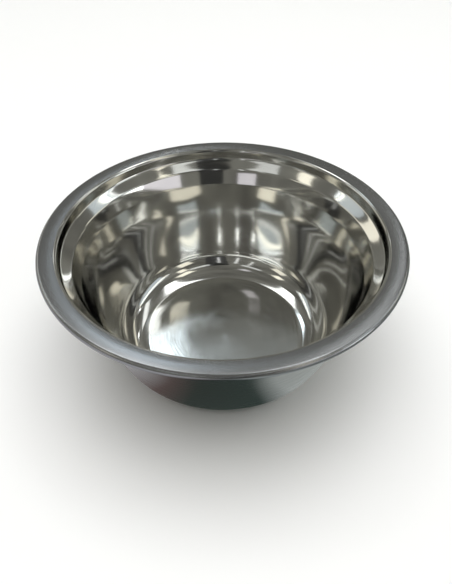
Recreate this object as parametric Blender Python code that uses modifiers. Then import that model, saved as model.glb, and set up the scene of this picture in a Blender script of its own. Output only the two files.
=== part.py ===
"""A stainless steel shaving bowl: one pressed sheet with a stepped neck and an open rolled rim.

Run it with blender --background --python part.py, or from Blender's text editor.
Units are metres. +Z is up, and the origin is the middle of the underside.
"""

from math import atan2, ceil, cos, radians, sin, tan

import bpy

# Overall sizes.
RIM_RADIUS = 0.060
HEIGHT = 0.050
SHEET = 0.0007

# The lower bowl, measured on its inner surface. Its wall is a slow curve between two leans.
UPPER_LEAN = radians(11.2)  # from the vertical, under the crease
LOWER_LEAN = radians(22.0)  # from the vertical, over the bottom corner
WALL_MIDDLE = 0.0179  # height where the two leans would meet
WALL_BEND = 0.090
BOTTOM_CORNER = 0.0125  # radius between floor and wall
CREASE = (0.0479, 0.0375)  # radius and height of the line where the taper ends

# Above the crease a band leans out a little more, up to the shoulder. Then come the ledge and the neck.
SHOULDER = (0.04995, 0.0429)
LEDGE_OUTER = (0.05315, 0.0461)
LIP = (0.05355, 0.0497)  # where the neck's line meets the flange's line

# Bends, each the radius of the surface that shows.
CREASE_BEND = 0.0012
SHOULDER_BEND = 0.0018
LEDGE_BEND = 0.0014
LIP_BEND = 0.0011

# The satin flange rises a little from the lip, levels off and rolls under.
CROWN_RADIUS = 0.0562
CROWN_BEND = 0.025
CURL_RADIUS = 0.0012
CURL_TURN = radians(250.0)

# How finely the surface is faceted.
ARC_FACET = radians(20.0)
CURL_FACET = radians(25.0)
LONGEST_FACET = 0.005  # along a bend
STEPS = 64
MERGE_DISTANCE = 0.00001  # closes the turn at its seam and on the axis

STEEL_COLOUR = (0.62, 0.62, 0.60, 1.0)
STEEL_ROUGHNESS = 0.16


def bend(radius, height, heading, turn, bend_radius, facet):
    """Stations (radius, height, heading) along an arc that starts at a point, heading that way."""
    side = 1.0 if turn > 0 else -1.0
    centre_radius = radius - side * bend_radius * sin(heading)
    centre_height = height + side * bend_radius * cos(heading)
    count = max(1, ceil(abs(turn) / facet), ceil(abs(turn) * bend_radius / LONGEST_FACET))
    stations = []
    for step in range(count + 1):
        angle = heading + turn * step / count
        along = centre_radius + side * bend_radius * sin(angle)
        up = centre_height - side * bend_radius * cos(angle)
        stations.append((along, up, angle))
    return stations


def corner_bend(before, corner, after, bend_radius):
    """The arc that rounds a corner of the profile."""
    arriving = atan2(corner[1] - before[1], corner[0] - before[0])
    leaving = atan2(after[1] - corner[1], after[0] - corner[0])
    turn = leaving - arriving
    tangent = bend_radius * tan(abs(turn) / 2)
    start_radius = corner[0] - tangent * cos(arriving)
    start_height = corner[1] - tangent * sin(arriving)
    return bend(start_radius, start_height, arriving, turn, bend_radius, ARC_FACET)


def profile_corners():
    """The unrounded corners of the surface that shows, from floor to rim, each with its bend."""
    middle = (CREASE[0] - (CREASE[1] - WALL_MIDDLE) * tan(UPPER_LEAN), WALL_MIDDLE)
    floor_corner = (middle[0] - (WALL_MIDDLE - SHEET) * tan(LOWER_LEAN), SHEET)
    return [
        (floor_corner, BOTTOM_CORNER),
        (middle, WALL_BEND),
        (CREASE, CREASE_BEND),
        (SHOULDER, SHOULDER_BEND),
        (LEDGE_OUTER, LEDGE_BEND),
        (LIP, LIP_BEND),
        ((CROWN_RADIUS, HEIGHT), CROWN_BEND),
    ]


def showing_side():
    """Stations along the sheet's inner and upper surface, from the floor's middle to the raw edge."""
    corners = profile_corners()
    start = (0.0, SHEET)
    curl_start = (RIM_RADIUS - CURL_RADIUS, HEIGHT)
    points = [start] + [corner for corner, _ in corners] + [curl_start]
    stations = [(*start, 0.0)]
    for index, (corner, bend_radius) in enumerate(corners):
        stations += corner_bend(points[index], corner, points[index + 2], bend_radius)
    return stations + bend(*curl_start, 0.0, -CURL_TURN, CURL_RADIUS, CURL_FACET)


def sheet_section():
    """The closed section of the sheet, up its showing side and back down its outer side."""
    stations = showing_side()
    showing = [(along, up) for along, up, _ in stations]
    hidden = [
        (along + SHEET * sin(angle), up - SHEET * cos(angle)) for along, up, angle in stations
    ]
    return showing + hidden[::-1]


def steel_material():
    material = bpy.data.materials.new("polished_steel")
    material.use_nodes = True
    shader = material.node_tree.nodes["Principled BSDF"]
    shader.inputs["Base Color"].default_value = STEEL_COLOUR
    shader.inputs["Metallic"].default_value = 1.0
    shader.inputs["Roughness"].default_value = STEEL_ROUGHNESS
    return material


def turned(name, section, collection):
    """An object made by turning a section about the Z axis."""
    mesh = bpy.data.meshes.new(name)
    points = [(along, 0.0, up) for along, up in section]
    edges = [(index, index + 1) for index in range(len(points) - 1)]
    mesh.from_pydata(points, edges, [])
    piece = bpy.data.objects.new(name, mesh)
    collection.objects.link(piece)
    screw = piece.modifiers.new("Turn", "SCREW")
    screw.steps = STEPS
    screw.render_steps = STEPS
    screw.use_merge_vertices = True
    screw.merge_threshold = MERGE_DISTANCE
    screw.use_smooth_shade = True
    return piece


def main():
    for old in list(bpy.data.objects):
        bpy.data.objects.remove(old, do_unlink=True)
    collection = bpy.data.collections.new("shaving_bowl")
    bpy.context.scene.collection.children.link(collection)
    bowl = turned("pressed_bowl", sheet_section(), collection)
    bowl.data.materials.append(steel_material())


main()
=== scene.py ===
"""The looks of a stainless steel shaving bowl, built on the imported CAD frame. Units are metres."""

from math import atan2, ceil, cos, hypot, pi, radians, sin, tan

import bmesh
import bpy
from mathutils import Euler, Matrix, Vector


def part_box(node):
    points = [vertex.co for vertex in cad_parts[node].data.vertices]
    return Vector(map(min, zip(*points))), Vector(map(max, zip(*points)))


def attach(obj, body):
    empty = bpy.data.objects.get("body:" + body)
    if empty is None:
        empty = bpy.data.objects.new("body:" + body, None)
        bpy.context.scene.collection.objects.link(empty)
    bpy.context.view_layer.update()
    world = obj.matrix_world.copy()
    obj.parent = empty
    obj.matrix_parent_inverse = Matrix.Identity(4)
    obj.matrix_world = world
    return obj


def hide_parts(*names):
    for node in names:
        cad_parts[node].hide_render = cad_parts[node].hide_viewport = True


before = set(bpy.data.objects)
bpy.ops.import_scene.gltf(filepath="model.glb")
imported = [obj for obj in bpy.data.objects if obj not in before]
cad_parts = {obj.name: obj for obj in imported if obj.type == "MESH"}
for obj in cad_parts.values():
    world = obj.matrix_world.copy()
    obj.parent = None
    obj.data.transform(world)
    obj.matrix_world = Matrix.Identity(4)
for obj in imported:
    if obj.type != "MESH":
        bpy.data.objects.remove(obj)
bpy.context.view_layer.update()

# Overall sizes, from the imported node.
NODE = "pressed_bowl"
_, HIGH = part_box(NODE)
RIM_RADIUS = HIGH.x
HEIGHT = HIGH.z
SHEET = 0.0007

# The showing surface, as in the CAD: radius and height of each corner, and the bend that rounds it.
UPPER_LEAN = radians(11.2)
LOWER_LEAN = radians(22.0)
WALL_MIDDLE = 0.0179
WALL_BEND = 0.090
BOTTOM_CORNER = 0.0125
CREASE = (0.0479, 0.0375)
CREASE_BEND = 0.0012
SHOULDER = (0.04995, 0.0429)
SHOULDER_BEND = 0.0018
LEDGE_OUTER = (0.05315, 0.0461)
LEDGE_BEND = 0.0014
LIP = (0.05355, 0.0497)
LIP_BEND = 0.0011
CROWN_RADIUS = 0.0562
CROWN_BEND = 0.025
CURL_RADIUS = 0.0012
CURL_TURN = radians(250.0)

# How finely the visual mesh is made.
SEGMENTS = 384
ARC_FACET = radians(4.0)
LONGEST_STEP = 0.0012
SHARP_EDGE = radians(50.0)  # a sharper fold than this isn't shaded smooth, as at the raw edge

# Pressed sheet is never quite even: the waves in its surfaces, which fade out at the floor's middle.
WAVE_DEPTH = 0.000009
CALM_RADIUS = 0.020


def bend(radius, height, heading, turn, bend_radius, facet):
    """Stations (radius, height, heading) along an arc that starts at a point, heading that way."""
    side = 1.0 if turn > 0 else -1.0
    centre_radius = radius - side * bend_radius * sin(heading)
    centre_height = height + side * bend_radius * cos(heading)
    count = max(1, ceil(abs(turn) / facet), ceil(abs(turn) * bend_radius / LONGEST_STEP))
    stations = []
    for step in range(count + 1):
        angle = heading + turn * step / count
        along = centre_radius + side * bend_radius * sin(angle)
        up = centre_height - side * bend_radius * cos(angle)
        stations.append((along, up, angle))
    return stations


def corner_bend(before, corner, after, bend_radius):
    """The arc that rounds a corner of the profile."""
    arriving = atan2(corner[1] - before[1], corner[0] - before[0])
    leaving = atan2(after[1] - corner[1], after[0] - corner[0])
    turn = leaving - arriving
    tangent = bend_radius * tan(abs(turn) / 2)
    start_radius = corner[0] - tangent * cos(arriving)
    start_height = corner[1] - tangent * sin(arriving)
    return bend(start_radius, start_height, arriving, turn, bend_radius, ARC_FACET)


def profile_corners():
    """The unrounded corners from floor to rim, each with its bend and the zone that leads up to it."""
    middle = (CREASE[0] - (CREASE[1] - WALL_MIDDLE) * tan(UPPER_LEAN), WALL_MIDDLE)
    floor_corner = (middle[0] - (WALL_MIDDLE - SHEET) * tan(LOWER_LEAN), SHEET)
    return [
        (floor_corner, BOTTOM_CORNER, "floor"),
        (middle, WALL_BEND, "inside"),
        (CREASE, CREASE_BEND, "inside"),
        (SHOULDER, SHOULDER_BEND, "inside"),
        (LEDGE_OUTER, LEDGE_BEND, "inside"),
        (LIP, LIP_BEND, "inside"),
        ((CROWN_RADIUS, HEIGHT), CROWN_BEND, "rim"),
    ]


def filled(stations, first, last, zone):
    """Appends evenly spaced stations on the straight run from first, left out, to last."""
    count = max(1, ceil(hypot(last[0] - first[0], last[1] - first[1]) / LONGEST_STEP))
    for step in range(1, count + 1):
        share = step / count
        place = [first[axis] + (last[axis] - first[axis]) * share for axis in range(3)]
        stations.append((*place, zone))


def showing_side():
    """Stations (radius, height, heading, zone of the face before) from the middle to the raw edge."""
    corners = profile_corners()
    start = (0.0, SHEET)
    curl_start = (RIM_RADIUS - CURL_RADIUS, HEIGHT)
    points = [start] + [corner for corner, _, _ in corners] + [curl_start]
    stations = [(*start, 0.0, "floor")]
    for index, (corner, bend_radius, zone) in enumerate(corners):
        arc = corner_bend(points[index], corner, points[index + 2], bend_radius)
        filled(stations, stations[-1], arc[0], zone)
        arc_zone = "inside" if zone == "floor" else zone  # the bottom corner is polished too
        stations += [(*station, arc_zone) for station in arc[1:]]
    filled(stations, stations[-1], (*curl_start, 0.0), "rim")
    curl = bend(*curl_start, 0.0, -CURL_TURN, CURL_RADIUS, 2 * ARC_FACET)
    return stations + [(*station, "rim") for station in curl[1:]]


def hidden_side(showing):
    """The sheet's other surface, from the raw edge back to the middle of the underside."""
    stations = []
    for along, up, angle, zone in reversed(showing):
        place = (along + SHEET * sin(angle), up - SHEET * cos(angle), angle)
        stations.append((*place, "underside" if zone == "floor" else "outside"))
    return stations


# The waves that are added up: how many go round, radians along one rim radius, phase and share.
WAVES = ((3, 5.0, 0.7, 1.0), (5, -7.0, 2.1, 1.0), (11, 9.0, 4.0, 0.45), (17, -13.0, 1.3, 0.45))


def wave(angle, along, up):
    """A smooth unevenness between -1 and 1, nearly the same on both surfaces of the sheet."""
    path = (along + up) / RIM_RADIUS
    total = sum(share * sin(count * angle + rate * path + phase) for count, rate, phase, share in WAVES)
    return total / sum(share for _, _, _, share in WAVES)


EVEN_ZONES = ("rim", "underside")  # the zones without waves


def sheet_points(ring):
    """The turned section's points: the floor's middle, a column for each segment, the base's middle."""
    points = [(0.0, 0.0, ring[0][1])]
    for segment in range(SEGMENTS):
        angle = 2 * pi * segment / SEGMENTS
        for along, up, heading, zone in ring[1:-1]:
            depth = 0.0 if zone in EVEN_ZONES else WAVE_DEPTH * wave(angle, along, up)
            if zone == "floor":
                depth *= min(1.0, along / CALM_RADIUS)
            out = along + depth * sin(heading)
            points.append((out * cos(angle), out * sin(angle), up - depth * cos(heading)))
    points.append((0.0, 0.0, ring[-1][1]))
    return points


def sheet_faces(column):
    """The faces between those points, where each segment's column has so many."""
    last = 1 + SEGMENTS * column
    faces = []
    for segment in range(SEGMENTS):
        here = 1 + segment * column
        there = 1 + (segment + 1) % SEGMENTS * column
        faces.append((0, here, there))
        for step in range(column - 1):
            faces.append((here + step, here + step + 1, there + step + 1, there + step))
        faces.append((here + column - 1, last, there + column - 1))
    return faces


def turned_sheet(name, slots):
    """The bowl's whole sheet as one closed mesh, with a material slot for each zone."""
    showing = showing_side()
    ring = showing + hidden_side(showing)
    face_zones = [zone for _, _, _, zone in ring]
    face_zones[len(showing)] = "edge"  # the face across the sheet, at the end of the roll
    mesh = bpy.data.meshes.new(name)
    mesh.from_pydata(sheet_points(ring), [], sheet_faces(len(ring) - 2))
    numbers = [list(slots).index(zone) for zone in face_zones[1:]]
    mesh.polygons.foreach_set("material_index", numbers * SEGMENTS)
    mesh.validate()
    mesh.update()
    mesh.shade_smooth()
    mesh.set_sharp_from_angle(angle=SHARP_EDGE)
    for material in slots.values():
        mesh.materials.append(material)
    piece = bpy.data.objects.new(name, mesh)
    bpy.context.scene.collection.objects.link(piece)
    return piece


AXIS_GUARD = 0.0001  # keeps a radius away from zero
NOISE_RANGE = (0.3, 0.7)  # where most of a noise's values lie


class Shading:
    """A Principled material under construction, with short ways to add and link nodes."""

    def __init__(self, name, colour, roughness, metallic=1.0):
        self.material = bpy.data.materials.new(name)
        self.material.use_nodes = True
        self.nodes = self.material.node_tree.nodes
        self.links = self.material.node_tree.links
        self.shader = self.nodes["Principled BSDF"]
        self.shader.inputs["Base Color"].default_value = (*colour, 1.0)
        self.shader.inputs["Roughness"].default_value = roughness
        self.shader.inputs["Metallic"].default_value = metallic

    def add(self, kind, **settings):
        node = self.nodes.new(kind)
        for setting, value in settings.items():
            setattr(node, setting, value)
        return node

    def math(self, operation, first, second=0.0):
        node = self.add("ShaderNodeMath", operation=operation)
        for socket, value in zip(node.inputs, (first, second)):
            if isinstance(value, (int, float)):
                socket.default_value = value
            else:
                self.links.new(value, socket)
        return node.outputs[0]

    def place(self):
        return self.add("ShaderNodeTexCoord").outputs["Object"]

    def turned_coordinates(self, around, across):
        """Coordinates that change slowly around the Z axis and fast across it, as turning marks do."""
        parts = self.add("ShaderNodeSeparateXYZ")
        self.links.new(self.place(), parts.inputs["Vector"])
        x, y, z = parts.outputs
        squares = self.math("ADD", self.math("MULTIPLY", x, x), self.math("MULTIPLY", y, y))
        radius = self.math("MAXIMUM", self.math("SQRT", squares), AXIS_GUARD)
        whole = self.add("ShaderNodeCombineXYZ")
        for level, socket in ((x, "X"), (y, "Y")):
            scaled = self.math("MULTIPLY", self.math("DIVIDE", level, radius), around)
            self.links.new(scaled, whole.inputs[socket])
        path = self.math("ADD", radius, z)
        self.links.new(self.math("MULTIPLY", path, across), whole.inputs["Z"])
        return whole.outputs[0]

    def noise(self, coordinates, scale, detail):
        node = self.add("ShaderNodeTexNoise")
        node.inputs["Scale"].default_value = scale
        node.inputs["Detail"].default_value = detail
        self.links.new(coordinates, node.inputs["Vector"])
        return node.outputs["Fac"]

    def spread(self, value, low, high):
        """Maps a noise's usual values to the range low to high."""
        node = self.add("ShaderNodeMapRange")
        node.inputs["From Min"].default_value = NOISE_RANGE[0]
        node.inputs["From Max"].default_value = NOISE_RANGE[1]
        node.inputs["To Min"].default_value = low
        node.inputs["To Max"].default_value = high
        self.links.new(value, node.inputs["Value"])
        return node.outputs["Result"]

    def to(self, socket, value):
        self.links.new(value, self.shader.inputs[socket])

    def bump(self, value, depth):
        node = self.add("ShaderNodeBump")
        node.inputs["Distance"].default_value = depth
        self.links.new(value, node.inputs["Height"])
        self.to("Normal", node.outputs["Normal"])

    def brushed_round(self, amount):
        """Stretches highlights across the marks that run round the axis."""
        self.shader.inputs["Anisotropic"].default_value = amount
        tangent = self.add("ShaderNodeTangent", direction_type="RADIAL", axis="Z")
        self.to("Tangent", tangent.outputs["Tangent"])


# In each finish below, around and across say how fast its marks change, and low and high are roughnesses.


def satin_rim():
    steel = Shading("satin_rim_steel", (0.48, 0.485, 0.50), 0.24)
    grain = steel.noise(steel.turned_coordinates(around=3.0, across=4500.0), scale=1.0, detail=3.0)
    steel.to("Roughness", steel.spread(grain, low=0.22, high=0.26))
    steel.bump(grain, depth=0.0000003)
    steel.brushed_round(0.35)
    return steel.material


def polished_inside():
    steel = Shading("polished_inside_steel", (0.74, 0.735, 0.71), 0.075)
    marks = steel.noise(steel.turned_coordinates(around=2.0, across=2500.0), scale=1.0, detail=4.0)
    steel.to("Roughness", steel.spread(marks, low=0.06, high=0.095))
    steel.brushed_round(0.6)
    return steel.material


def scoured_floor():
    steel = Shading("scoured_floor_steel", (0.68, 0.68, 0.66), 0.13)
    marks = steel.noise(steel.turned_coordinates(around=2.5, across=3500.0), scale=1.0, detail=4.0)
    patches = steel.noise(steel.place(), scale=120.0, detail=5.0)
    mixed = steel.math("MULTIPLY", steel.math("ADD", marks, patches), 0.5)
    steel.to("Roughness", steel.spread(mixed, low=0.06, high=0.22))
    steel.bump(marks, depth=0.000002)
    steel.brushed_round(0.6)
    return steel.material


def brushed_outside(name):
    steel = Shading(name, (0.58, 0.58, 0.57), 0.24)
    marks = steel.noise(steel.turned_coordinates(around=2.0, across=5000.0), scale=1.0, detail=3.0)
    steel.to("Roughness", steel.spread(marks, low=0.17, high=0.30))
    steel.bump(marks, depth=0.0000015)
    steel.brushed_round(0.6)
    return steel.material


def raw_edge():
    steel = Shading("raw_edge_steel", (0.50, 0.50, 0.50), 0.45)
    grit = steel.noise(steel.place(), scale=2500.0, detail=2.0)
    steel.to("Roughness", steel.spread(grit, low=0.38, high=0.52))
    return steel.material


def direction(azimuth, elevation):
    """A unit vector: azimuth turns from +Y, away from the camera, towards +X."""
    turn = radians(azimuth)
    rise = radians(elevation)
    return Vector((cos(rise) * sin(turn), cos(rise) * cos(turn), sin(rise)))


ROOM = 1.5  # how far off the lamps are


def panel(name, azimuth, elevation, width, height, brightness, colour, tilt=0.0):
    """A soft lamp that faces the bowl. Its width and height are angles seen from there, in degrees."""
    light = bpy.data.lights.new(name, "AREA")
    light.shape = "RECTANGLE"
    light.size = 2 * ROOM * tan(radians(width / 2))
    light.size_y = 2 * ROOM * tan(radians(height / 2))
    light.energy = brightness * pi * light.size * light.size_y  # so brightness doesn't depend on size
    light.color = colour
    lamp = bpy.data.objects.new(name, light)
    towards = direction(azimuth, elevation)
    lamp.location = towards * ROOM + Vector((0.0, 0.0, HEIGHT / 2))
    turn = towards.to_track_quat("Z", "Y")
    lamp.rotation_mode = "QUATERNION"
    lamp.rotation_quaternion = turn @ Euler((0.0, 0.0, radians(tilt))).to_quaternion()
    bpy.context.scene.collection.objects.link(lamp)
    return lamp


CREAM = (1.0, 0.96, 0.82)
WHITE = (0.97, 1.0, 1.0)
BLUISH = (0.80, 0.92, 1.0)
LILAC = (0.95, 0.92, 1.0)

# The lamps that the steel mirrors: azimuth, elevation, width, height, brightness, colour, any tilt.
LAMPS = {
    "window_back_right": (46, 66, 32, 8, 2.2, WHITE),
    "window_back_left": (324, 59, 26, 9, 2.2, WHITE),
    "lamp_back_left": (346, 48.5, 9, 4.5, 2.8, BLUISH),
    "lamp_back_right": (38, 49.5, 26, 5, 1.2, WHITE),
    "haze_back": (3, 50, 14, 3, 0.25, BLUISH),
    "panel_front_right": (136, 31, 13, 14, 1.0, CREAM, 12),
    "panel_top_right": (114, 63, 12, 9, 1.2, CREAM),
    "panel_front_left": (247, 31, 13, 14, 0.9, CREAM, -12),
    "panel_over_right": (124, 50, 7, 10, 1.2, CREAM),
    "panel_over_left": (259, 50, 7, 10, 1.2, CREAM),
    "ledge_right": (146, 57, 16, 5, 0.7, WHITE),
    "ledge_left": (222, 57, 16, 5, 0.6, WHITE),
    "panel_high_left": (228, 72, 6, 6, 0.6, LILAC),
    "strip_right": (85, 38.8, 42, 1.3, 1.7, CREAM),
    "strip_right_2": (88, 40.4, 38, 0.6, 1.9, WHITE),
    "strip_right_3": (90, 42.2, 34, 0.7, 1.9, WHITE),
    "strip_left": (301, 38.8, 27, 1.3, 1.7, CREAM),
    "strip_left_2": (299, 40.4, 24, 0.6, 2.0, WHITE),
    "strip_left_3": (297, 42.2, 21, 0.7, 2.0, WHITE),
    "low_right": (70, 22, 24, 8, 1.2, CREAM),
    "low_left": (303, 22, 44, 8, 1.0, CREAM),
    "glow_right": (84, 35, 36, 13, 0.6, BLUISH),
    "glow_left": (301, 35, 26, 13, 0.5, BLUISH),
    "wall_right": (130, 8, 34, 10, 0.8, LILAC),
    "wall_front": (200, 7, 14, 9, 0.7, LILAC),
    "edge_right": (108, 9, 16, 10, 3.2, WHITE),
    "column_1": (175, 41, 2, 22, 0.9, WHITE),
    "column_2": (197, 41, 2, 24, 1.0, WHITE),
    "column_3": (215, 44, 2, 18, 0.8, WHITE),
    "line_1": (355, 37, 0.7, 12, 1.0, WHITE),
    "line_2": (26, 37, 0.7, 12, 1.1, WHITE),
    "line_3": (54.5, 37, 0.7, 12, 1.0, WHITE),
    "spot_1": (355, 38.5, 1.5, 1.5, 7.0, WHITE),
    "spot_2": (26, 38.5, 1.5, 1.5, 7.0, WHITE),
    "spot_3": (54.5, 38.5, 1.5, 1.5, 7.0, WHITE),
}


FLOOR_LIGHT = 27.0  # watts
FLOOR_LIGHT_WIDTH = 2.0
FLOOR_LIGHT_HEIGHT = 1.6


def floor_light():
    """A broad soft light from above for the floor and its shadow, which the steel doesn't mirror."""
    light = bpy.data.lights.new("floor_light", "AREA")
    light.shape = "DISK"
    light.size = FLOOR_LIGHT_WIDTH
    light.energy = FLOOR_LIGHT
    lamp = bpy.data.objects.new("floor_light", light)
    lamp.location.z = FLOOR_LIGHT_HEIGHT
    lamp.visible_glossy = False
    bpy.context.scene.collection.objects.link(lamp)


def colour_ramp(nodes, stops):
    """A colour ramp with one stop for each (position, colour)."""
    ramp = nodes.new("ShaderNodeValToRGB")
    elements = ramp.color_ramp.elements
    while len(elements) < len(stops):
        elements.new(0.5)
    for element, (position, colour) in zip(elements, stops):
        element.position = position
        element.color = (*colour, 1.0)
    return ramp


ROOM_GREYS = ((0.36, (0.115, 0.113, 0.102)), (0.68, (0.22, 0.22, 0.195)))


def room():
    """Dim, uneven surroundings in warm greys, which the polished steel mirrors."""
    world = bpy.data.worlds.new("room")
    world.use_nodes = True
    nodes = world.node_tree.nodes
    links = world.node_tree.links
    place = nodes.new("ShaderNodeTexCoord")
    noise = nodes.new("ShaderNodeTexNoise")
    noise.inputs["Scale"].default_value = 2.6
    noise.inputs["Detail"].default_value = 4.0
    ramp = colour_ramp(nodes, ROOM_GREYS)
    links.new(place.outputs["Generated"], noise.inputs["Vector"])
    links.new(noise.outputs["Fac"], ramp.inputs["Fac"])
    links.new(ramp.outputs["Color"], nodes["Background"].inputs["Color"])
    bpy.context.scene.world = world


def matt_material(name, grey):
    return Shading(name, (grey, grey, grey), roughness=0.9, metallic=0.0).material


def glow_material(name):
    """A material that only glows, and the node that sets its colour."""
    material = bpy.data.materials.new(name)
    material.use_nodes = True
    nodes = material.node_tree.nodes
    nodes.remove(nodes["Principled BSDF"])
    glow = nodes.new("ShaderNodeEmission")
    surface = nodes["Material Output"].inputs["Surface"]
    material.node_tree.links.new(glow.outputs["Emission"], surface)
    return material, glow


def sheet_of(name, width, depth, material):
    """A flat rectangle that is part of the stage."""
    mesh = bpy.data.meshes.new(name)
    x, y = width / 2, depth / 2
    mesh.from_pydata([(-x, -y, 0.0), (x, -y, 0.0), (x, y, 0.0), (-x, y, 0.0)], [], [(0, 1, 2, 3)])
    mesh.materials.append(material)
    piece = bpy.data.objects.new(name, mesh)
    bpy.context.scene.collection.objects.link(piece)
    return piece


def only_mirrored(piece):
    """Leaves a piece of the stage to be seen in the steel and nowhere else."""
    piece.visible_camera = False
    piece.visible_diffuse = False
    piece.visible_shadow = False


# The bench's glow from left to right, at shares of its painted width: painted light, grey at the sides
# and dark in the middle, which the bowl's outside mirrors.
BENCH_SIDE = 0.07  # half that width
BENCH_PAINTED_LIGHT = (
    (0.0, (0.50, 0.50, 0.51)),
    (0.20, (0.42, 0.42, 0.43)),
    (0.31, (0.12, 0.09, 0.085)),
    (0.40, (0.045, 0.055, 0.05)),
    (0.60, (0.045, 0.062, 0.056)),
    (0.68, (0.40, 0.43, 0.42)),
    (0.85, (0.45, 0.48, 0.46)),
    (1.0, (0.20, 0.22, 0.21)),
)


def painted_light_bench_material():
    """A sheet that glows with painted light for the bowl's outside to mirror from below: grey at the
    sides and dark in the middle.
    """
    material, glow = glow_material("glowing_bench_painted_light")
    nodes = material.node_tree.nodes
    links = material.node_tree.links
    place = nodes.new("ShaderNodeTexCoord")
    parts = nodes.new("ShaderNodeSeparateXYZ")
    across = nodes.new("ShaderNodeMapRange")
    across.inputs["From Min"].default_value = -BENCH_SIDE
    across.inputs["From Max"].default_value = BENCH_SIDE
    # The glow's colours are painted light: grey at the sides and dark in the middle.
    ramp = colour_ramp(nodes, BENCH_PAINTED_LIGHT)
    links.new(place.outputs["Object"], parts.inputs["Vector"])
    links.new(parts.outputs["X"], across.inputs["Value"])
    links.new(across.outputs["Result"], ramp.inputs["Fac"])
    links.new(ramp.outputs["Color"], glow.inputs["Color"])
    return material


PALE = 0.90  # the grey of the floor and the backdrop
BACKDROP_RADIUS = 5.5


def backdrop():
    """A pale dome behind everything, which only the camera sees."""
    material, glow = glow_material("pale_backdrop")
    glow.inputs["Color"].default_value = (PALE, PALE, PALE, 1.0)
    shape = bmesh.new()
    bmesh.ops.create_uvsphere(shape, u_segments=64, v_segments=32, radius=BACKDROP_RADIUS)
    mesh = bpy.data.meshes.new("pale_backdrop")
    shape.to_mesh(mesh)
    shape.free()
    mesh.shade_smooth()
    mesh.materials.append(material)
    dome = bpy.data.objects.new("pale_backdrop", mesh)
    bpy.context.scene.collection.objects.link(dome)
    dome.visible_diffuse = False
    dome.visible_glossy = False
    dome.visible_shadow = False


FLOOR_WIDTH = 12.0
FLOOR_BELOW = 0.0001  # how far under the bowl's base the floor lies
BENCH_BELOW = 0.0005
DARK_PLACE = (172, 32)  # the dark figure's azimuth and elevation, on the camera's side
DARK_DISTANCE = 1.9  # further off than the lamps
DARK_SIZE = (0.65, 2.2)
DARK_GREY = 0.06


def surroundings():
    """The floor, which the camera sees, and a bench glowing with painted light and a dark figure, which
    only the steel mirrors.
    """
    floor = sheet_of("pale_floor", FLOOR_WIDTH, FLOOR_WIDTH, matt_material("pale_floor", PALE))
    floor.location.z = -FLOOR_BELOW
    floor.visible_glossy = False
    # The bench is no lamp but glows: its colours are painted light, the lit surroundings that the bowl's
    # outside mirrors.
    bench = sheet_of("glowing_bench_painted_light", FLOOR_WIDTH, FLOOR_WIDTH, painted_light_bench_material())
    bench.location.z = -BENCH_BELOW
    only_mirrored(bench)
    dark = sheet_of("dark_figure", *DARK_SIZE, matt_material("dark_figure", DARK_GREY))
    towards = direction(*DARK_PLACE)
    dark.location = towards * DARK_DISTANCE
    dark.rotation_euler = towards.to_track_quat("Z", "Y").to_euler()
    only_mirrored(dark)


# The camera: distances in rim radii, back from the axis and up from the rim's widest circle.
CAMERA_BACK = 2.377
CAMERA_UP = 1.830
CAMERA_PITCH = radians(43.73)
CAMERA_YAW = radians(0.40)
CAMERA_ROLL = radians(-0.48)
CAMERA_LENS = 33.39
CAMERA_NEAR = 0.01


def camera():
    data = bpy.data.cameras.new("camera")
    data.lens = CAMERA_LENS
    data.clip_start = CAMERA_NEAR
    view = bpy.data.objects.new("camera", data)
    middle = HEIGHT - CURL_RADIUS
    place = Vector((0.0, -CAMERA_BACK * RIM_RADIUS, middle + CAMERA_UP * RIM_RADIUS))
    aim = Euler((pi / 2 - CAMERA_PITCH, 0.0, -CAMERA_YAW)).to_matrix().to_4x4()
    view.matrix_world = Matrix.Translation(place) @ aim @ Matrix.Rotation(CAMERA_ROLL, 4, "Z")
    bpy.context.scene.collection.objects.link(view)
    bpy.context.scene.camera = view


def main():
    bpy.context.scene.view_settings.view_transform = "Standard"
    camera()
    room()
    for name, settings in LAMPS.items():
        panel(name, *settings)
    floor_light()
    backdrop()
    surroundings()
    slots = {
        "rim": satin_rim(),
        "inside": polished_inside(),
        "floor": scoured_floor(),
        "outside": brushed_outside("brushed_outside_steel"),
        "underside": brushed_outside("brushed_underside_steel"),
        "edge": raw_edge(),
    }
    bowl = turned_sheet("bowl_sheet", slots)
    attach(bowl, "root")
    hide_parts(NODE)


main()
